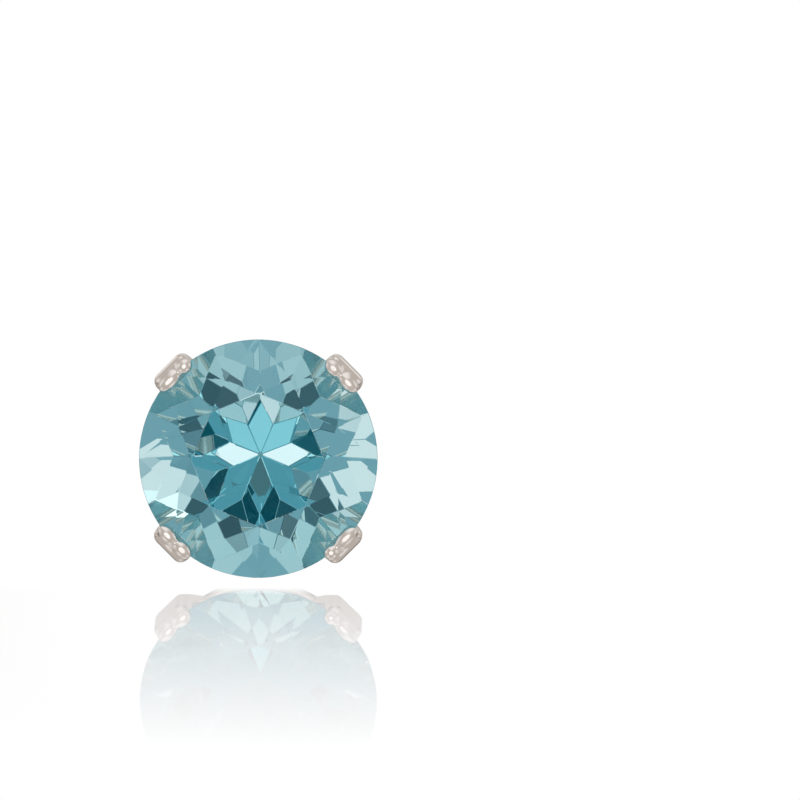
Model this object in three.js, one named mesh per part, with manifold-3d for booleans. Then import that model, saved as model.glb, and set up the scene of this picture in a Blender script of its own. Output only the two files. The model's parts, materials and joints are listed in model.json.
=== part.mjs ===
// A stud earring: a round brilliant-cut stone in a four-claw silver setting, with a butterfly nut on the post.
// Sizes are in millimetres. Each piece is made about the stud's own axis: the middle of the stone's girdle is
// at z = 0, +Z runs out through its table, and -Z runs along the post. The finished stud is then laid down as
// it rests by itself, on the edge of the stone and on the two scrolls, with the stone facing -Y and a little up.

import * as THREE from "three";
import { ConvexGeometry } from "three/addons/geometries/ConvexGeometry.js";
import { mergeVertices } from "three/addons/utils/BufferGeometryUtils.js";
import Module from "manifold-3d";

const wasm = await Module();
wasm.setup();

// Stone
const STONE_WIDTH = 7.0; // across the girdle
const TABLE_WIDTH = 3.9; // across the table's corners
const CULET_WIDTH = 0.14; // across the corners of the tiny facet at the point
const GIRDLE_HEIGHT = 0.2; // the girdle's thickest places
const CROWN_ANGLE = 19; // degrees, of the kite facets above the girdle
const STAR_REACH = 0.42; // how far the star facets run from the table's edge to the girdle
const MAIN_ANGLE = 43.4; // degrees, of the main facets round the point
const MAIN_CORNER = 1.0; // radius of the mains' side corners
const MAIN_TIP = 1.71; // radius of the mains' outer tips
const BREAK_ANGLE = 57; // degrees, of the narrow facets under the girdle
const BREAK_REACH = 0.35; // how far those facets reach in from the girdle
const MAIN_FACETS = 8;
const GIRDLE_SIDES = 64; // a multiple of four times the main facets

// Claws
const CLAW_COUNT = 4;
const CLAW_WIDTH = 1.28; // across the claw where it meets the stone
const CLAW_CORNER = 0.3; // how far its outer corners are rounded off
const CLAW_FOOT_WIDTH = 0.8; // across its foot
const CLAW_PROUD = 0.34; // how far it stands out past the girdle
const CLAW_BOW = 0.1; // how far it bows out between foot and shoulder
const SHOULDER_DROP = 0.8; // from the girdle's middle down to the start of the straight upper stretch
const NOSE_COVER = 0.2; // how far the bent-over nose reaches in over the stone
const NOSE_WALL = 0.34; // metal above the stone under the nose
const NOSE_SLOPE = 0.08; // how much lower its inner edge is than its top
const NOSE_ROUND = 0.13; // rounding of the nose's rim
const NOTCH_WIDTH = 0.26; // of the small notch in the nose's inner edge
const NOTCH_DEPTH = 0.09;
const SEAT_GAP = 0.03; // between the stone and its seat

// Gallery rail and base
const RAIL_WIRE = 0.5; // its thickness
const RAIL_DROP = 2.3; // below the girdle's middle
const CULET_GAP = 0.4; // from the stone's point to the base
const BASE_RADIUS = 1.5;
const BASE_WALL = 0.4;

// Post
const POST_WIDTH = 0.84;
const POST_LENGTH = 9.8; // from the back of the base to the tip
const SOLDER_FILLET = 0.22; // round the post's root
const GROOVE_FROM_TIP = 1.5; // from the tip to the middle of the friction groove
const GROOVE_WIDTH = 0.5;
const GROOVE_DEPTH = 0.07;

// Butterfly nut
const LOBE_ROOM = 5.0; // between the base and the nut, where the ear lobe goes
const NUT_GAP = 0.03; // between the nut and the post
const SCROLL_GAP = 0.06; // between the scrolls and the post
const STRIP_WALL = 0.3; // the sheet that the nut is stamped from
const STRIP_WIDTH = 3.9; // of the scrolled ends
const PLATE_WIDTH = 3.6; // left to right
const PLATE_HEIGHT = 4.0; // top to bottom
const PLATE_CORNER = 0.8;
const SCROLL_RADIUS = 1.0; // of the strip's middle line, where it leaves the plate
const SCROLL_SHRINK = 0.5; // share of that radius that it loses over its second half turn
const SCROLL_END = 300; // degrees round the scroll's centre where the strip ends
const COLLAR_WALL = 0.28; // of the drawn collar round the nut's hole
const COLLAR_HEIGHT = 0.35; // how far the collar stands behind the plate

// Facets of the round pieces
const ROUND_SIDES = 48;
const CURVE_STEPS = 8;

// Places that follow from the sizes
const stoneRadius = STONE_WIDTH / 2;
const clawRadius = stoneRadius + CLAW_PROUD;
const baseTop = pavilionCorners().culet.height - CULET_GAP;
const baseBack = baseTop - BASE_WALL;
const postRadius = POST_WIDTH / 2;
const postTip = baseBack - POST_LENGTH;
const plateFront = baseBack - LOBE_ROOM;
const plateBack = plateFront - STRIP_WALL;

function slope(degrees) {
  return Math.tan(THREE.MathUtils.degToRad(degrees));
}

// A point at a radius, an angle round the axis and a height.
function polar(radius, angle, height) {
  return new THREE.Vector3(radius * Math.cos(angle), radius * Math.sin(angle), height);
}

// A closed three.js geometry as a solid that can be joined and cut.
function solid(geometry) {
  const bare = new THREE.BufferGeometry().setAttribute("position", geometry.getAttribute("position"));
  bare.setIndex(geometry.index);
  const merged = mergeVertices(bare, 1e-5);
  return new wasm.Manifold(
    new wasm.Mesh({
      numProp: 3,
      vertProperties: merged.attributes.position.array,
      triVerts: new Uint32Array(merged.index.array),
    }),
  );
}

// A solid back as a three.js geometry.
function geometryOf(body) {
  const mesh = body.getMesh();
  return new THREE.BufferGeometry()
    .setAttribute("position", new THREE.BufferAttribute(new Float32Array(mesh.vertProperties), 3))
    .setIndex(new THREE.BufferAttribute(new Uint32Array(mesh.triVerts), 1))
    .toNonIndexed();
}

function join(bodies) {
  return bodies.reduce((whole, body) => whole.add(body));
}

// The corners that the crown's facets share: those of the table and of the girdle, and the stars' outer tips.
function crownCorners() {
  const between = Math.PI / MAIN_FACETS;
  const girdle = stoneRadius * Math.cos(Math.PI / GIRDLE_SIDES);
  const rise = (radius) => GIRDLE_HEIGHT / 2 + (girdle - radius) * slope(CROWN_ANGLE);
  const tableEdge = (TABLE_WIDTH / 2) * Math.cos(between);
  const starTip = tableEdge + STAR_REACH * (girdle - tableEdge);
  return {
    table: { radius: TABLE_WIDTH / 2, height: rise(TABLE_WIDTH / 2) },
    tip: { radius: starTip, height: rise(starTip * Math.cos(between)) },
    girdle: { radius: girdle, height: GIRDLE_HEIGHT / 2 },
  };
}

// The corners that the pavilion's facets share, from the girdle down to the point.
function pavilionCorners() {
  const between = Math.PI / MAIN_FACETS;
  const girdle = stoneRadius * Math.cos(Math.PI / GIRDLE_SIDES);
  const mainSlope = slope(MAIN_ANGLE);
  const breakRadius = girdle - BREAK_REACH;
  const breakDrop = BREAK_REACH * Math.cos(between / 2) * slope(BREAK_ANGLE);
  const sideRise = MAIN_TIP - MAIN_CORNER * Math.cos(between);
  const sideSlope = (sideRise / (MAIN_TIP * Math.cos(between) - MAIN_CORNER)) * mainSlope;
  const breakHeight = -GIRDLE_HEIGHT / 2 - breakDrop;
  const cornerHeight = breakHeight - (breakRadius - MAIN_CORNER) * sideSlope;
  const pointHeight = cornerHeight - MAIN_CORNER * Math.cos(between) * mainSlope;
  const culetRadius = CULET_WIDTH / 2;
  const culetHeight = pointHeight + culetRadius * Math.cos(between) * mainSlope;
  return {
    girdle: { radius: girdle, height: -GIRDLE_HEIGHT / 2 },
    break: { radius: breakRadius, height: breakHeight },
    corner: { radius: MAIN_CORNER, height: cornerHeight },
    tip: { radius: MAIN_TIP, height: pointHeight + MAIN_TIP * mainSlope },
    point: { radius: 0, height: pointHeight },
    culet: { radius: culetRadius, height: culetHeight },
  };
}

// The block whose face is the plane through three corners, and which lies outside the stone.
function grindingBlock(a, b, c) {
  const plane = new THREE.Plane().setFromCoplanarPoints(a, b, c);
  if (plane.distanceToPoint(new THREE.Vector3()) > 0) {
    plane.negate();
  }
  const size = 4 * STONE_WIDTH;
  const block = new THREE.BoxGeometry(size, size, size).translate(0, 0, size / 2);
  const turn = new THREE.Quaternion().setFromUnitVectors(new THREE.Vector3(0, 0, 1), plane.normal);
  block.applyQuaternion(turn).translate(...plane.coplanarPoint(new THREE.Vector3()));
  return solid(block);
}

// The round brilliant, ground from a round blank a tier of facets at a time. A tier's row gives the three
// corners that its plane runs through and how many half steps round from a kite's middle each of them lies.
function brilliant() {
  const crown = crownCorners();
  const pavilion = pavilionCorners();
  const step = Math.PI / MAIN_FACETS;
  const tiers = [
    { name: "kite", corners: [crown.girdle, crown.tip, crown.tip], steps: [0, 1, -1] },
    { name: "star", corners: [crown.table, crown.table, crown.tip], steps: [0, 2, 1] },
    { name: "upper right", corners: [crown.girdle, crown.girdle, crown.tip], steps: [0, 1, 1] },
    { name: "upper left", corners: [crown.girdle, crown.girdle, crown.tip], steps: [0, -1, -1] },
    { name: "table", corners: [crown.table, crown.table, crown.table], steps: [0, 2, 4] },
    { name: "main", corners: [pavilion.point, pavilion.corner, pavilion.corner], steps: [0, 1, -1] },
    { name: "side", corners: [pavilion.corner, pavilion.tip, pavilion.tip], steps: [1, 0, 2] },
    { name: "break right", corners: [pavilion.girdle, pavilion.girdle, pavilion.break], steps: [0, 1, 1] },
    { name: "break left", corners: [pavilion.girdle, pavilion.girdle, pavilion.break], steps: [0, -1, -1] },
    { name: "culet", corners: [pavilion.culet, pavilion.culet, pavilion.culet], steps: [1, 3, 5] },
  ];
  const turned = new THREE.CylinderGeometry(stoneRadius, stoneRadius, 2 * STONE_WIDTH, GIRDLE_SIDES);
  let stone = solid(turned.rotateX(Math.PI / 2).rotateZ(Math.PI / GIRDLE_SIDES));
  for (const { corners, steps } of tiers) {
    for (let i = 0; i < MAIN_FACETS; i++) {
      const facet = corners.map(({ radius, height }, n) => polar(radius, (2 * i + steps[n]) * step, height));
      stone = stone.subtract(grindingBlock(...facet));
    }
  }
  const ground = mergeVertices(geometryOf(stone), 1e-3).getAttribute("position");
  const corners = [];
  for (let i = 0; i < ground.count; i++) {
    corners.push(new THREE.Vector3().fromBufferAttribute(ground, i));
  }
  return new ConvexGeometry(corners);
}

// A flat shape given thickness: its own x and y kept, and z from 0 to depth.
function thicken(shape, depth) {
  return new THREE.ExtrudeGeometry(shape, { depth, bevelEnabled: false, curveSegments: CURVE_STEPS });
}

// The claw's outer face from foot to shoulder, radius across and height up: the three points of its bow.
function clawBow() {
  const foot = new THREE.Vector2(BASE_RADIUS, baseBack);
  const shoulder = new THREE.Vector2(clawRadius, -SHOULDER_DROP);
  const along = shoulder.clone().sub(foot).normalize();
  const bend = foot.clone().add(shoulder).multiplyScalar(0.5);
  bend.addScaledVector(new THREE.Vector2(along.y, -along.x), 2 * CLAW_BOW);
  const wall = (CLAW_PROUD + NOSE_COVER) / along.y;
  return { foot, bend, shoulder, wall };
}

// The radius of the claw's middle line at a height between its foot and its shoulder.
function clawMiddleRadius(height) {
  const { foot, bend, shoulder, wall } = clawBow();
  const curve = new THREE.QuadraticBezierCurve(foot, bend, shoulder);
  let low = 0;
  let high = 1;
  for (let i = 0; i < 30; i++) {
    const middle = (low + high) / 2;
    if (curve.getPoint(middle).y < height) {
      low = middle;
    } else {
      high = middle;
    }
  }
  return curve.getPoint(low).x - wall / 2;
}

// The claw from the side, radius across and height up: a bowed strap from the base to its rounded top.
function clawSide(top) {
  const inner = stoneRadius - NOSE_COVER;
  const { foot, bend, shoulder, wall } = clawBow();
  const shape = new THREE.Shape();
  shape.moveTo(foot.x, foot.y);
  shape.quadraticCurveTo(bend.x, bend.y, shoulder.x, shoulder.y);
  shape.lineTo(clawRadius, top - NOSE_ROUND);
  shape.quadraticCurveTo(clawRadius, top, clawRadius - NOSE_ROUND, top);
  shape.lineTo(inner, top - NOSE_SLOPE);
  shape.lineTo(inner, shoulder.y);
  shape.quadraticCurveTo(bend.x - wall, bend.y, foot.x - wall, foot.y);
  return shape;
}

// The claw from above, radius across: narrow at the foot, widest at the stone, with rounded outer corners.
function clawPlan() {
  const shape = new THREE.Shape();
  const half = CLAW_WIDTH / 2;
  shape.moveTo(0, -CLAW_FOOT_WIDTH / 2);
  shape.lineTo(BASE_RADIUS / 2, -CLAW_FOOT_WIDTH / 2);
  shape.lineTo(stoneRadius - NOSE_COVER, -half);
  shape.lineTo(clawRadius - CLAW_CORNER, -half);
  shape.quadraticCurveTo(clawRadius, -half, clawRadius, CLAW_CORNER - half);
  shape.lineTo(clawRadius, half - CLAW_CORNER);
  shape.quadraticCurveTo(clawRadius, half, clawRadius - CLAW_CORNER, half);
  shape.lineTo(stoneRadius - NOSE_COVER, half);
  shape.lineTo(BASE_RADIUS / 2, CLAW_FOOT_WIDTH / 2);
  shape.lineTo(0, CLAW_FOOT_WIDTH / 2);
  return shape;
}

// The claw end on, with the upper corners rounded.
function clawAcross(top) {
  const shape = new THREE.Shape();
  const half = CLAW_WIDTH / 2;
  shape.moveTo(-half, baseBack);
  shape.lineTo(half, baseBack);
  shape.lineTo(half, top - NOSE_ROUND);
  shape.quadraticCurveTo(half, top, half - NOSE_ROUND, top);
  shape.lineTo(NOSE_ROUND - half, top);
  shape.quadraticCurveTo(-half, top, -half, top - NOSE_ROUND);
  return shape;
}

// What is filed off the nose's inner side, from above: it leaves two lobes with a notch between them.
function nosePlanWaste() {
  const shape = new THREE.Shape();
  const half = CLAW_WIDTH / 2;
  const inner = stoneRadius - NOSE_COVER;
  const side = stoneRadius - NOSE_COVER / 4;
  shape.moveTo(inner - NOSE_COVER, -CLAW_WIDTH);
  shape.lineTo(side, -CLAW_WIDTH);
  shape.lineTo(side, -half);
  shape.quadraticCurveTo(inner, -half / 2, inner, -NOTCH_WIDTH / 2);
  shape.lineTo(inner + NOTCH_DEPTH, 0);
  shape.lineTo(inner, NOTCH_WIDTH / 2);
  shape.quadraticCurveTo(inner, half / 2, side, half);
  shape.lineTo(side, CLAW_WIDTH);
  shape.lineTo(inner - NOSE_COVER, CLAW_WIDTH);
  return shape;
}

// One claw along +X, before the stone's seat is cut in it.
function claw() {
  const top = GIRDLE_HEIGHT / 2 + NOSE_COVER * slope(CROWN_ANGLE) + NOSE_WALL;
  const side = thicken(clawSide(top), CLAW_WIDTH).translate(0, 0, -CLAW_WIDTH / 2).rotateX(Math.PI / 2);
  const plan = thicken(clawPlan(), top - baseBack + 2).translate(0, 0, baseBack - 1);
  const across = thicken(clawAcross(top), clawRadius + 1).rotateX(Math.PI / 2).rotateZ(Math.PI / 2);
  const waste = thicken(nosePlanWaste(), top + 1);
  return solid(side).intersect(solid(plan)).intersect(solid(across)).subtract(solid(waste));
}

// The base plate and the post, turned in one piece: solder fillet, friction groove and rounded tip.
function baseAndPost() {
  const profile = new THREE.Path();
  const grooveMiddle = postTip + GROOVE_FROM_TIP;
  profile.moveTo(0, postTip);
  profile.absarc(0, postTip + postRadius, postRadius, -Math.PI / 2, 0);
  profile.lineTo(postRadius, grooveMiddle - GROOVE_WIDTH / 2);
  profile.quadraticCurveTo(
    postRadius - 2 * GROOVE_DEPTH,
    grooveMiddle,
    postRadius,
    grooveMiddle + GROOVE_WIDTH / 2,
  );
  profile.lineTo(postRadius, baseBack - SOLDER_FILLET);
  profile.quadraticCurveTo(postRadius, baseBack, postRadius + SOLDER_FILLET, baseBack);
  profile.lineTo(BASE_RADIUS, baseBack);
  profile.lineTo(BASE_RADIUS, baseTop);
  profile.lineTo(0, baseTop);
  const turned = new THREE.LatheGeometry(profile.getPoints(CURVE_STEPS), ROUND_SIDES);
  return turned.rotateX(Math.PI / 2);
}

// The round rail that ties the claws together under the stone.
function galleryRail() {
  const rail = new THREE.TorusGeometry(clawMiddleRadius(-RAIL_DROP), RAIL_WIRE / 2, 12, ROUND_SIDES);
  return rail.translate(0, 0, -RAIL_DROP);
}

// The claws, rail, base and post, soldered into one, with the stone's seat cut in the claws.
function setting(stoneGeometry) {
  const oneClaw = claw();
  const pieces = [solid(galleryRail()), solid(baseAndPost())];
  for (let i = 0; i < CLAW_COUNT; i++) {
    pieces.push(oneClaw.rotate([0, 0, ((i + 0.5) * 360) / CLAW_COUNT]));
  }
  const room = solid(stoneGeometry).scale(1 + SEAT_GAP / stoneRadius);
  return geometryOf(join(pieces).subtract(room));
}

// One scroll from the edge of the strip, x across and depth behind the plate's middle up.
function scrollEdgeOn() {
  const nearest = SCROLL_RADIUS * (1 - SCROLL_SHRINK / 2) + STRIP_WALL / 2;
  const centre = postRadius + SCROLL_GAP + nearest;
  const edge = (offset) => {
    const points = [];
    const steps = 4 * CURVE_STEPS;
    for (let i = 0; i <= steps; i++) {
      const degrees = -90 + ((SCROLL_END + 90) * i) / steps;
      const shrink = Math.max(0, (degrees - 90) / 180) * SCROLL_SHRINK;
      const radius = SCROLL_RADIUS * (1 - shrink) + offset;
      const angle = THREE.MathUtils.degToRad(degrees);
      const across = centre + radius * Math.cos(angle);
      points.push(new THREE.Vector2(across, SCROLL_RADIUS + radius * Math.sin(angle)));
    }
    return points;
  };
  const rootX = postRadius + NUT_GAP + COLLAR_WALL / 2;
  const outer = edge(STRIP_WALL / 2);
  const inner = edge(-STRIP_WALL / 2).reverse();
  const root = [new THREE.Vector2(rootX, STRIP_WALL / 2), new THREE.Vector2(rootX, -STRIP_WALL / 2)];
  return new THREE.Shape([...root, ...outer, ...inner]);
}

// The nut's plate from the front: a rounded rectangle.
function plateFrontOn() {
  const shape = new THREE.Shape();
  const halfWidth = PLATE_WIDTH / 2 - PLATE_CORNER;
  const halfHeight = PLATE_HEIGHT / 2 - PLATE_CORNER;
  shape.absarc(halfWidth, halfHeight, PLATE_CORNER, 0, Math.PI / 2);
  shape.absarc(-halfWidth, halfHeight, PLATE_CORNER, Math.PI / 2, Math.PI);
  shape.absarc(-halfWidth, -halfHeight, PLATE_CORNER, Math.PI, 1.5 * Math.PI);
  shape.absarc(halfWidth, -halfHeight, PLATE_CORNER, 1.5 * Math.PI, 2 * Math.PI);
  return shape;
}

// A round bar along the axis from one height up to another.
function roundBar(radius, bottom, top) {
  const bar = new THREE.CylinderGeometry(radius, radius, top - bottom, ROUND_SIDES);
  return bar.rotateX(Math.PI / 2).translate(0, 0, (bottom + top) / 2);
}

// The nut: a plate with a collared hole for the post, whose left and right ends roll back into scrolls.
function butterflyNut() {
  const holeRadius = postRadius + NUT_GAP;
  const collarBack = plateBack - COLLAR_HEIGHT;
  const sheet = thicken(plateFrontOn(), STRIP_WALL).translate(0, 0, plateBack);
  const collar = roundBar(holeRadius + COLLAR_WALL, collarBack, plateFront);
  const hole = roundBar(holeRadius, collarBack - 1, plateFront + 1);
  const scroll = thicken(scrollEdgeOn(), STRIP_WIDTH).translate(0, 0, -STRIP_WIDTH / 2);
  scroll.rotateX(-Math.PI / 2).translate(0, 0, plateFront - STRIP_WALL / 2);
  const left = scroll.clone().rotateZ(Math.PI);
  const holed = solid(sheet).add(solid(collar)).subtract(solid(hole));
  return geometryOf(join([holed, solid(scroll), solid(left)]));
}

// How far the stud leans back as it lies, on the stone's edge and on what meets the surface first behind it.
function restAngle() {
  const front = { radius: stoneRadius * Math.cos(Math.PI / GIRDLE_SIDES), height: -GIRDLE_HEIGHT / 2 };
  const behind = [
    { radius: PLATE_HEIGHT / 2, height: plateBack },
    { radius: STRIP_WIDTH / 2, height: plateFront - 2 * SCROLL_RADIUS - STRIP_WALL },
    { radius: postRadius, height: postTip + postRadius },
  ];
  const leans = behind.map((at) => Math.atan2(front.radius - at.radius, front.height - at.height));
  return Math.min(...leans);
}

const silver = new THREE.MeshStandardMaterial({ color: 0xdcd6cf, roughness: 0.14, metalness: 1 });
const blueTopaz = new THREE.MeshPhysicalMaterial({
  color: 0x6ec3d2,
  roughness: 0,
  metalness: 0,
  transmission: 1,
  ior: 1.62,
});

function piece(name, geometry, material) {
  const mesh = new THREE.Mesh(geometry, material);
  mesh.name = name;
  geometry.computeVertexNormals();
  return mesh;
}

const stoneShape = brilliant();
const stud = new THREE.Group();
stud.add(piece("stone", stoneShape, blueTopaz));
stud.add(piece("setting", setting(stoneShape), silver));
stud.add(piece("butterfly_nut", butterflyNut(), silver));
stud.rotation.x = Math.PI / 2 - restAngle();

// The origin lies on the table, under the middle of the stud.
const earring = new THREE.Group();
earring.add(stud);
const extent = new THREE.Box3().setFromObject(earring, true);
const middle = extent.getCenter(new THREE.Vector3());
stud.position.set(-middle.x, -middle.y, -extent.min.z);

export default earring;
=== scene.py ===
"""A stud earring as a jeweller makes it: a round blue stone, a silver claw setting and a butterfly nut.

Every piece is modelled in millimetres about the stud's own axis: the middle of the stone's girdle is at
z = 0, +Z runs out through its table, and -Z runs down the post. A finished piece is then laid down in the
frame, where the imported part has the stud, and its millimetres become metres.
"""

from __future__ import annotations

import json
import logging
import math
from dataclasses import dataclass
from enum import Enum

import bpy
from mathutils import Matrix, Vector


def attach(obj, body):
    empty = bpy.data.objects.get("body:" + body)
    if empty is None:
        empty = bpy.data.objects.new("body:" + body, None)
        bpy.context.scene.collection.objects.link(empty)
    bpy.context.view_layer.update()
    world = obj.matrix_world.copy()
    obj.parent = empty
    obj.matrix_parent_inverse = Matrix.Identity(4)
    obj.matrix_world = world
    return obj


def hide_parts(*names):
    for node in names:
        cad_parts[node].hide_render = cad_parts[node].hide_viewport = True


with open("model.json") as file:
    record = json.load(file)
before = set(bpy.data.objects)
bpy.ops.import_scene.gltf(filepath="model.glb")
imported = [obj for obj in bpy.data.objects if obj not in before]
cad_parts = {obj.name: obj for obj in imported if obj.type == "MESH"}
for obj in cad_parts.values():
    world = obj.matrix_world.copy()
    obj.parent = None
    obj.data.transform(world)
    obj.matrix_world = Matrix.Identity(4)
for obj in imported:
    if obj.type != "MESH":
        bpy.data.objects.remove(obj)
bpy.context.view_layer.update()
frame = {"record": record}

LOG = logging.getLogger("stud_earring")
MM = 0.001
BODY = "root"
WELD = 0.0005
GRIND_WELD = 0.0002
SHARP_EDGE = 50.0
SMOOTH_EDGE = 40.0
WHITE = (1.0, 1.0, 1.0, 1.0)


class Slot(Enum):
    """The record's material slots."""

    STONE = "stone"
    SILVER = "silver"


class Join(Enum):
    """What a boolean does with the second solid."""

    ADD = "UNION"
    CUT = "DIFFERENCE"


class Tint(Enum):
    """The colour of a card: plain, a warm lamp's, the warmer key lamp's, or a cool shade's."""

    WHITE = (1.0, 1.0, 1.0)
    LAMP = (1.4, 1.05, 1.0)
    KEY = (2.2, 1.05, 0.95)
    SHADE = (0.0, 1.0, 1.3)


class Scroll(Enum):
    """The nut's two scrolls, by the turn about the axis that each gets."""

    RIGHT = 0.0
    LEFT = 180.0


def slope(degrees: float) -> float:
    """The rise over run of an angle in degrees."""
    return math.tan(math.radians(degrees))


def polar(radius: float, degrees: float, height: float) -> Vector:
    """A point at a radius, an angle round the axis in degrees and a height."""
    angle = math.radians(degrees)
    return Vector((radius * math.cos(angle), radius * math.sin(angle), height))


def direction(azimuth: float, elevation: float) -> Vector:
    """A direction from the stud.

    Args:
        azimuth: Degrees to the right, as seen from in front of the stud.
        elevation: Degrees up.

    Returns:
        The unit vector.
    """
    turn, rise = math.radians(azimuth), math.radians(elevation)
    return Vector((math.sin(turn) * math.cos(rise), -math.cos(turn) * math.cos(rise), math.sin(rise)))


def deselect_all() -> None:
    """Leaves object mode with nothing selected."""
    if bpy.context.object and bpy.context.object.mode != "OBJECT":
        bpy.ops.object.mode_set(mode="OBJECT")
    bpy.ops.object.select_all(action="DESELECT")


def make_active(piece: bpy.types.Object) -> None:
    """Selects one object alone and makes it the active one.

    Args:
        piece: The object to work on next.
    """
    deselect_all()
    piece.select_set(True)
    bpy.context.view_layer.objects.active = piece


def new_piece(name: str) -> bpy.types.Object:
    """Names the primitive that was added last.

    Args:
        name: The piece's plain name.

    Returns:
        The object that holds it.
    """
    piece = bpy.context.object
    piece.name = name
    piece.data.name = name
    return piece


def turn_about_axis(piece: bpy.types.Object, degrees: float) -> None:
    """Turns a piece about the stud's axis and applies the turn to its mesh.

    Args:
        piece: The piece to turn.
        degrees: How far, anticlockwise as seen from in front of the stone.
    """
    make_active(piece)
    piece.rotation_euler = (0.0, 0.0, math.radians(degrees))
    bpy.ops.object.transform_apply(location=False, rotation=True, scale=False)


def apply_modifier(piece: bpy.types.Object, modifier: bpy.types.Modifier) -> None:
    """Applies one modifier of a piece.

    Args:
        piece: The piece that carries it.
        modifier: The modifier to apply.
    """
    make_active(piece)
    bpy.ops.object.modifier_apply(modifier=modifier.name)


def combine(piece: bpy.types.Object, other: bpy.types.Object, join: Join) -> None:
    """Cuts another solid out of a piece or joins it on, and deletes the other solid.

    Args:
        piece: The piece that is changed.
        other: The solid to cut with or to join on.
        join: Whether the other solid is cut out or joined on.
    """
    boolean = piece.modifiers.new("boolean", "BOOLEAN")
    boolean.operation = join.value
    boolean.solver = "EXACT"
    boolean.object = other
    apply_modifier(piece, boolean)
    bpy.data.objects.remove(other)


def open_faces() -> None:
    """Opens the active piece in edit mode, with all its faces selected."""
    bpy.ops.object.mode_set(mode="EDIT")
    bpy.ops.mesh.select_mode(type="FACE")
    bpy.ops.mesh.select_all(action="SELECT")


def draw_on(move: Vector, ratio: tuple[float, float], height: float, middle: float = 0.0) -> None:
    """Draws the selected level face on, and resizes it where it ends.

    Args:
        move: How far it is drawn.
        ratio: By how much it is resized along X and Y.
        height: The height where it ends.
        middle: Its middle there, along X.
    """
    bpy.ops.mesh.extrude_region_move(TRANSFORM_OT_translate={"value": move})
    bpy.ops.transform.resize(value=(*ratio, 1), center_override=(middle, 0, height))


def tidy_mesh(piece: bpy.types.Object) -> None:
    """Merges doubles and turns all faces outwards.

    Args:
        piece: The piece to tidy.
    """
    make_active(piece)
    bpy.ops.object.mode_set(mode="EDIT")
    bpy.ops.mesh.select_all(action="SELECT")
    bpy.ops.mesh.remove_doubles(threshold=WELD)
    bpy.ops.mesh.normals_make_consistent(inside=False)
    bpy.ops.object.mode_set(mode="OBJECT")


def round_edges(piece: bpy.types.Object, width: float, segments: int, degrees: float) -> None:
    """Rounds a piece's edges.

    Args:
        piece: The piece.
        width: Width of the rounding, in millimetres.
        segments: Faces across it.
        degrees: The smallest turn between two faces whose edge is rounded.
    """
    rounding = piece.modifiers.new("rounding", "BEVEL")
    rounding.width = width
    rounding.segments = segments
    rounding.limit_method = "ANGLE"
    rounding.angle_limit = math.radians(degrees)
    apply_modifier(piece, rounding)


def smooth(piece: bpy.types.Object, degrees: float) -> None:
    """Shades a piece smooth where its faces meet at less than an angle.

    Args:
        piece: The piece.
        degrees: The angle.
    """
    make_active(piece)
    bpy.ops.object.shade_smooth_by_angle(angle=math.radians(degrees))


@dataclass(frozen=True)
class Seat:
    """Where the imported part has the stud: its axis and the middle of the stone's girdle, in the frame.

    Attributes:
        lobe_face_height: Height of the base plate's back face on the stud's axis, in millimetres.
        lobe_face_radius: How far from the axis the record measures that face, in millimetres.
    """

    lobe_face_height: float
    lobe_face_radius: float = 1.1

    def matrix(self) -> Matrix:
        """The placement that takes the stud's own millimetres to the frame's metres.

        Returns:
            A turn about X, a scale to metres and a move, as one matrix.
        """
        mount = next(row for row in frame["record"]["mounts"] if row["name"] == "lobe_front")
        back = Vector(mount["axis"])
        lean = math.asin(-back.z)
        turn = Matrix.Rotation(math.pi / 2 - lean, 4, "X")
        face = turn @ Vector((0.0, self.lobe_face_radius, self.lobe_face_height)) * MM
        return Matrix.Translation(Vector(mount["pos_m"]) - face) @ turn @ Matrix.Scale(MM, 4)

    def lay_down(self, piece: bpy.types.Object) -> None:
        """Places a finished piece in the frame, with its object back at the origin.

        Args:
            piece: A piece modelled in millimetres about the stud's axis.
        """
        make_active(piece)
        piece.matrix_world = self.matrix()
        bpy.ops.object.transform_apply(location=True, rotation=True, scale=True)


def put_in_frame(piece: bpy.types.Object, node: str, seat: Seat) -> None:
    """Lays a piece down, makes it ride on the body and lets it stand for its node.

    Args:
        piece: The finished piece.
        node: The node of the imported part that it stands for.
        seat: Where the stud lies.
    """
    seat.lay_down(piece)
    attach(piece, BODY)
    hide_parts(node)
    LOG.info("%s: %d faces", piece.name, len(piece.data.polygons))


def set_inputs(tree: bpy.types.NodeTree, node: bpy.types.Node, inputs: dict[str | int, object]) -> None:
    """Sets or links a node's inputs.

    Args:
        tree: The nodes that it belongs to.
        node: The node.
        inputs: For each input a value, or the socket that is linked to it.
    """
    for name, value in inputs.items():
        if isinstance(value, bpy.types.NodeSocket):
            tree.links.new(value, node.inputs[name])
        else:
            node.inputs[name].default_value = value


def add_node(
    tree: bpy.types.NodeTree,
    kind: str,
    inputs: dict[str | int, object] | None = None,
    **settings: object,
) -> bpy.types.Node:
    """Adds one shader node.

    Args:
        tree: The nodes to add it to.
        kind: Its type, without the word ShaderNode.
        inputs: Its inputs, as set_inputs takes them.
        settings: Its own properties by name, which are set before its inputs.

    Returns:
        The node.
    """
    node = tree.nodes.new(f"ShaderNode{kind}")
    for name, value in settings.items():
        setattr(node, name, value)
    set_inputs(tree, node, inputs or {})
    return node


def add_socket(group: bpy.types.NodeTree, name: str, way: str) -> None:
    """Adds one named number socket to a shader node group.

    Args:
        group: The group.
        name: The socket's name.
        way: INPUT or OUTPUT.
    """
    group.interface.new_socket(name=name, in_out=way, socket_type="NodeSocketFloat")


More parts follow.
